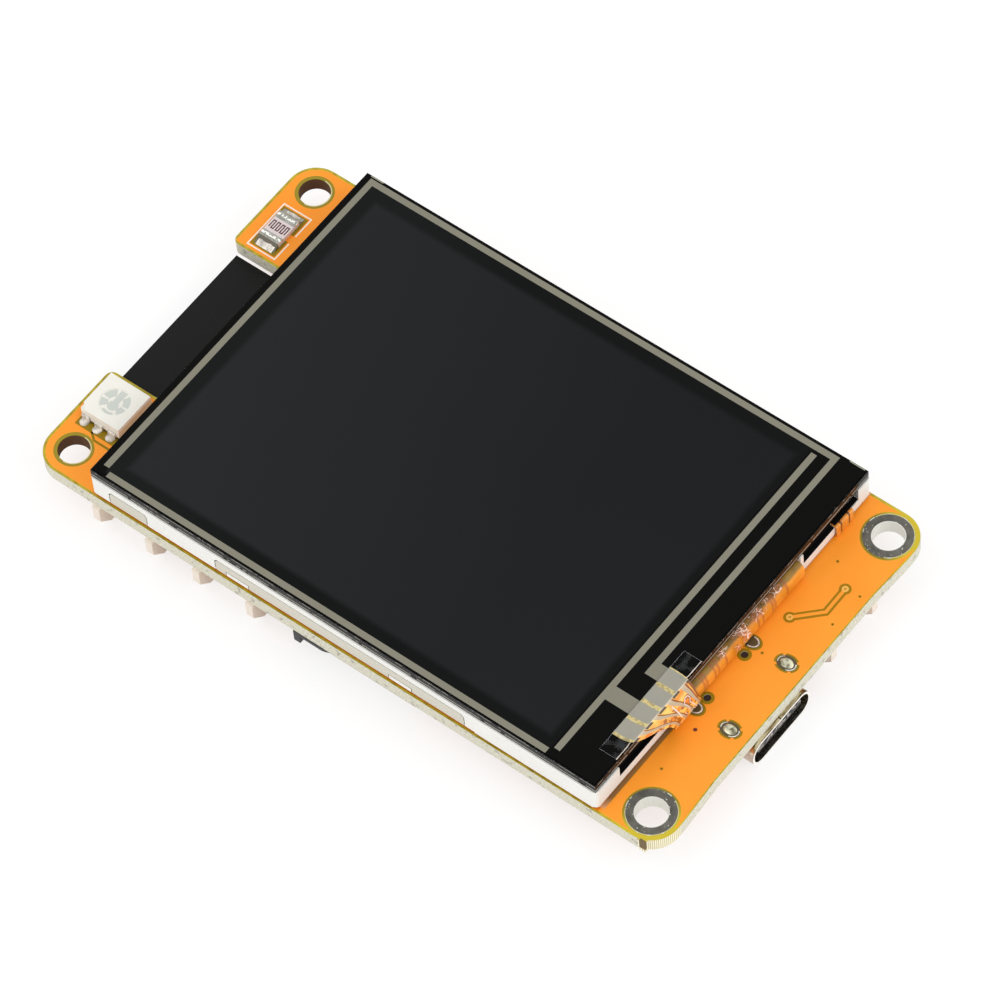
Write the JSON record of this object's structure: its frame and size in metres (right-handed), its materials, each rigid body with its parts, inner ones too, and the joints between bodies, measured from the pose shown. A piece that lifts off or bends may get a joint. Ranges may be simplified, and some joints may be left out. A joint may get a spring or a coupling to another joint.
{
  "type": "touch display development board",
  "caption": "Rectangular orange circuit board with a resistive touch display on its face and a radio module, USB receptacle, card slot and wire sockets on its back.",
  "frame": {"origin": "centre of the four corner holes, on the board's display side", "axes": "+X along the board to the USB end, +Y across the board to its far long edge, +Z out of the display"},
  "size_m": [0.0751, 0.0436, 0.0094],
  "materials": {
    "solder_mask": "satin orange solder mask",
    "tinned_copper": "bright tin",
    "foam_tape": "matt foam",
    "tray_steel": "satin",
    "white_plastic": "satin",
    "clear_acrylic": "clear",
    "diffuser_film": "matt",
    "led_white": "satin",
    "amber_flex": "glossy polyimide",
    "cell_glass": "clear",
    "dark_film": "satin",
    "bare_silicon": "polished",
    "black_film": "matt",
    "panel_glass": "clear",
    "silver_ink": "matt",
    "clear_film": "clear",
    "sensor_ceramic": "satin",
    "black_mask": "matt",
    "gold_pads": "bright",
    "nickel_can": "satin",
    "black_epoxy": "matt",
    "nickel_shell": "bright",
    "black_plastic": "satin",
    "beige_plastic": "satin",
    "capacitor_ceramic": "matt"
  },
  "bodies": {
    "board": {"circuit_board": "solder_mask", "hole_rings": "tinned_copper", "mounting_tape": "foam_tape", "backlight_tray": "tray_steel", "backlight_frame": "white_plastic", "light_guide": "clear_acrylic", "diffuser_film": "diffuser_film", "backlight_leds": "led_white", "backlight_flex": "amber_flex", "lcd_rear_glass": "cell_glass", "lcd_front_glass": "cell_glass", "polariser": "dark_film", "driver_chip": "bare_silicon", "shading_strip": "black_film", "touch_gasket": "black_film", "touch_glass": "panel_glass", "touch_film": "dark_film", "silver_traces": "silver_ink", "touch_flex": "amber_flex", "cover_tape": "clear_film", "display_flex": "amber_flex", "rgb_led_body": "led_white", "rgb_led_leads": "tinned_copper", "light_sensor_body": "sensor_ceramic", "light_sensor_ends": "tinned_copper", "module_board": "black_mask", "module_pads": "gold_pads", "shield_can": "nickel_can", "module_chips": "black_epoxy", "usb_shell": "nickel_shell", "usb_tongue": "black_plastic", "usb_contacts": "gold_pads", "wire_socket_a": "beige_plastic", "wire_socket_b": "beige_plastic", "wire_socket_c": "beige_plastic", "battery_socket": "beige_plastic", "speaker_socket": "beige_plastic", "socket_pins": "tinned_copper", "socket_nails": "tinned_copper", "card_slot_base": "black_plastic", "card_slot_shell": "nickel_shell", "card_slot_contacts": "gold_pads", "reset_button_base": "black_plastic", "reset_button_cover": "nickel_shell", "boot_button_base": "black_plastic", "boot_button_cover": "nickel_shell", "button_leads": "tinned_copper", "usb_serial_chip": "black_epoxy", "touch_controller_chip": "black_epoxy", "audio_amplifier_chip": "black_epoxy", "battery_charger_chip": "black_epoxy", "regulator_chip": "black_epoxy", "transistors": "black_epoxy", "chip_leads": "tinned_copper", "resistors": "black_epoxy", "resistor_ends": "tinned_copper", "capacitors": "capacitor_ceramic", "capacitor_ends": "tinned_copper"},
    "reset_plunger": {"reset_button_plunger": "black_plastic"},
    "boot_plunger": {"boot_button_plunger": "black_plastic"}
  },
  "joints": [
    {"name": "reset_press", "type": "slide", "parent": "board", "child": "reset_plunger", "axis": [0, 0, 1], "range_m": [0, 0.00025], "stiffness_N_per_m": 4000, "springref_m": -0.00005},
    {"name": "boot_press", "type": "slide", "parent": "board", "child": "boot_plunger", "axis": [0, 0, 1], "range_m": [0, 0.00025], "stiffness_N_per_m": 4000, "springref_m": -0.00005}
  ]
}
